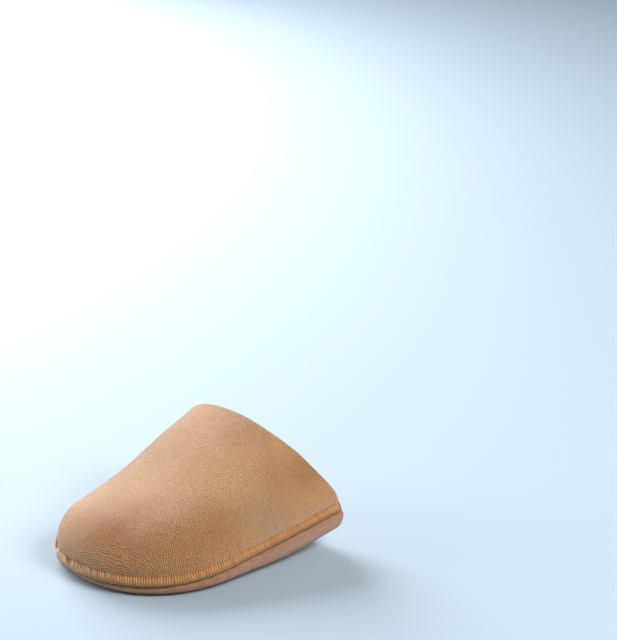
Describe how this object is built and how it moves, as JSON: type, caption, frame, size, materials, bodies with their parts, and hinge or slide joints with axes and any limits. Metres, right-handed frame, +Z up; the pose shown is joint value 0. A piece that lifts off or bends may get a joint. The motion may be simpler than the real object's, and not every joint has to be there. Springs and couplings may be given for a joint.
{
  "type": "foot pad",
  "caption": "Soft cloth pad for the toes and ball of a left foot: a knitted upper and sole joined by a raised overlock seam round the toe, open at the back.",
  "frame": {"origin": "middle of the footprint, on the surface that the sole rests on", "axes": "+Z up, the toe points towards -Y, the opening for the foot faces +Y, and +X is the outer side of the left foot"},
  "size_m": [0.091, 0.11, 0.0536],
  "materials": {
    "upper_cloth": "beige fine knit, matt with a soft sheen",
    "sole_cloth": "beige knit, matt",
    "seam_thread": "golden tan overlock thread"
  },
  "bodies": {
    "root": {"upper": "upper_cloth", "sole": "sole_cloth", "seam_band": "seam_thread"}
  },
  "joints": []
}
